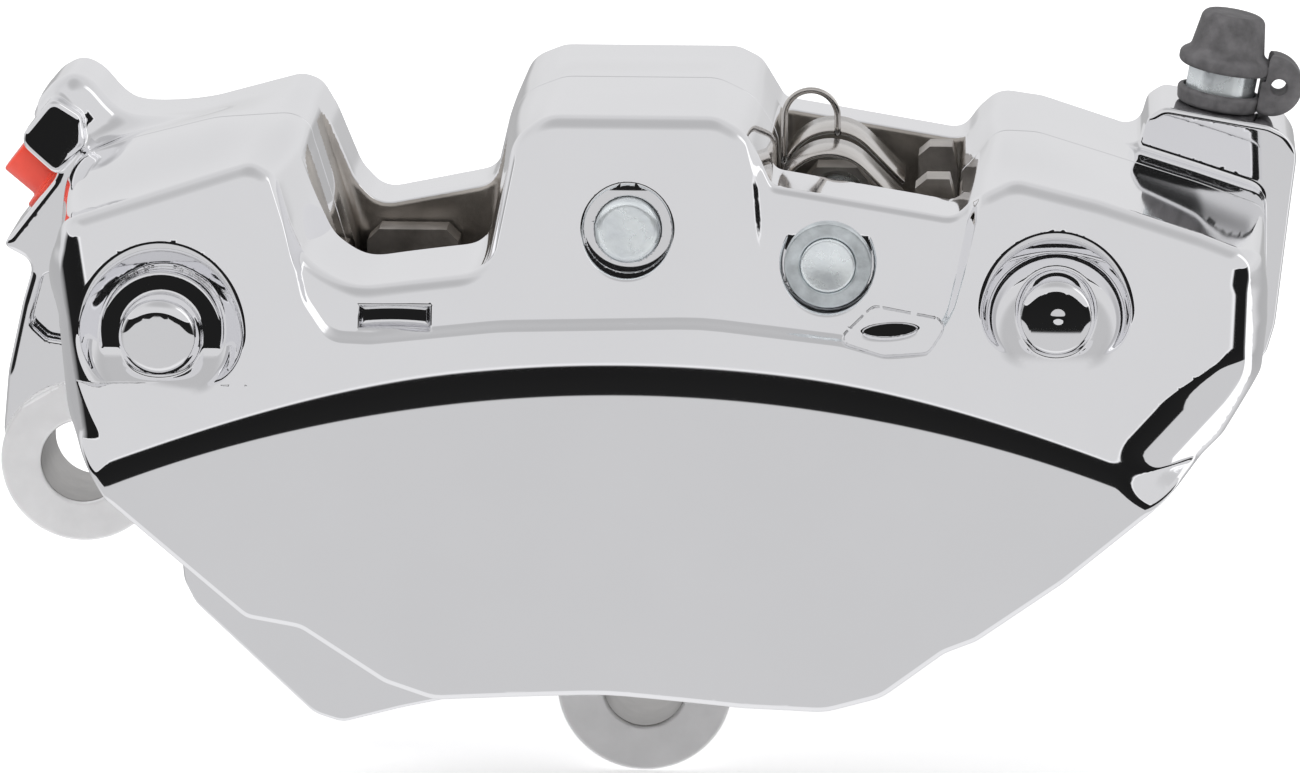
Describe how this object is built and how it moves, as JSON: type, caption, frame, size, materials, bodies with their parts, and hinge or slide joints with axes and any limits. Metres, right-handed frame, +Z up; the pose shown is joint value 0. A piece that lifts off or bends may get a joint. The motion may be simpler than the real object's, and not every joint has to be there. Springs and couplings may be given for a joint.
{
  "type": "brake caliper",
  "caption": "Chromed fixed disc brake caliper with opposed pistons, pads, bleeder and bolt-on lugs; squeezes a brake disc between its pads.",
  "frame": {"origin": "centre of the lower lug's bolt bore, on the lug's mounting face", "axes": "+X along the disc's tangent towards the bleeder, +Y along the lug bores towards the wheel hub side, +Z up away from the disc's centre"},
  "size_m": [0.1637, 0.0725, 0.0972],
  "materials": {
    "chrome_casting": "polished chrome plate over cast aluminium",
    "zinc_plate": "pale blue zinc plate on steel",
    "piston_metal": "hard anodised, turned",
    "spring_steel": "satin rolled stainless",
    "plate_steel": "phosphated steel, satin",
    "friction_lining": "pressed friction compound, matt with metal flecks",
    "seal_rubber": "smooth",
    "cap_rubber": "matt moulded, dusty",
    "red_plastic": "moulded polyethylene, soft gloss"
  },
  "bodies": {
    "root": {"outboard_housing": "chrome_casting", "inboard_housing": "chrome_casting", "left_bridge_bolt": "zinc_plate", "centre_bridge_bolt": "zinc_plate", "right_bridge_bolt": "zinc_plate", "crossover_seals": "seal_rubber", "outboard_left_pressure_seal": "seal_rubber", "outboard_right_pressure_seal": "seal_rubber", "inboard_left_pressure_seal": "seal_rubber", "inboard_right_pressure_seal": "seal_rubber", "outboard_left_dust_seal": "seal_rubber", "outboard_right_dust_seal": "seal_rubber", "inboard_left_dust_seal": "seal_rubber", "inboard_right_dust_seal": "seal_rubber", "pad_pin": "zinc_plate", "pad_pin_washer": "zinc_plate", "pad_spring_leaf": "spring_steel", "pad_spring_wire": "spring_steel"},
    "outboard_pad": {"outboard_backing_plate": "plate_steel", "outboard_lining": "friction_lining", "outboard_shim": "spring_steel"},
    "inboard_pad": {"inboard_backing_plate": "plate_steel", "inboard_lining": "friction_lining", "inboard_shim": "spring_steel"},
    "outboard_left_piston": {"outboard_left_piston": "piston_metal"},
    "outboard_right_piston": {"outboard_right_piston": "piston_metal"},
    "inboard_left_piston": {"inboard_left_piston": "piston_metal"},
    "inboard_right_piston": {"inboard_right_piston": "piston_metal"},
    "bleeder_screw": {"bleeder_screw": "zinc_plate", "bleeder_collar": "cap_rubber"},
    "bleeder_cap": {"bleeder_strap": "cap_rubber", "bleeder_cap": "cap_rubber"},
    "inlet_plug": {"inlet_plug": "red_plastic"}
  },
  "joints": [
    {"name": "outboard_pad_slide", "type": "slide", "parent": "root", "child": "outboard_pad", "axis": [0, 1, 0], "range_m": [0, 0.003]},
    {"name": "inboard_pad_slide", "type": "slide", "parent": "root", "child": "inboard_pad", "axis": [0, -1, 0], "range_m": [0, 0.003]},
    {"name": "outboard_left_piston_slide", "type": "slide", "parent": "root", "child": "outboard_left_piston", "axis": [0, 1, 0], "range_m": [0, 0.003]},
    {"name": "outboard_right_piston_slide", "type": "slide", "parent": "root", "child": "outboard_right_piston", "axis": [0, 1, 0], "range_m": [0, 0.003]},
    {"name": "inboard_left_piston_slide", "type": "slide", "parent": "root", "child": "inboard_left_piston", "axis": [0, -1, 0], "range_m": [0, 0.003]},
    {"name": "inboard_right_piston_slide", "type": "slide", "parent": "root", "child": "inboard_right_piston", "axis": [0, -1, 0], "range_m": [0, 0.003]},
    {"name": "bleeder_turn", "type": "hinge", "parent": "root", "child": "bleeder_screw", "pos_m": [0.0714, -0.005, 0.0734], "axis": [0.1736, 0, 0.9848], "range_deg": [0, 180]},
    {"name": "bleeder_cap_pull", "type": "slide", "parent": "bleeder_screw", "child": "bleeder_cap", "axis": [0.1736, 0, 0.9848], "range_m": [0, 0.009], "deforming": ["bleeder_strap"]},
    {"name": "inlet_plug_pull", "type": "slide", "parent": "root", "child": "inlet_plug", "axis": [-0.7826, 0, 0.6225], "range_m": [0, 0.012]}
  ],
  "couplings": [
    {"joint": "inboard_pad_slide", "follows": "outboard_pad_slide", "ratio": 1},
    {"joint": "outboard_left_piston_slide", "follows": "outboard_pad_slide", "ratio": 1},
    {"joint": "outboard_right_piston_slide", "follows": "outboard_pad_slide", "ratio": 1},
    {"joint": "inboard_left_piston_slide", "follows": "outboard_pad_slide", "ratio": 1},
    {"joint": "inboard_right_piston_slide", "follows": "outboard_pad_slide", "ratio": 1}
  ]
}
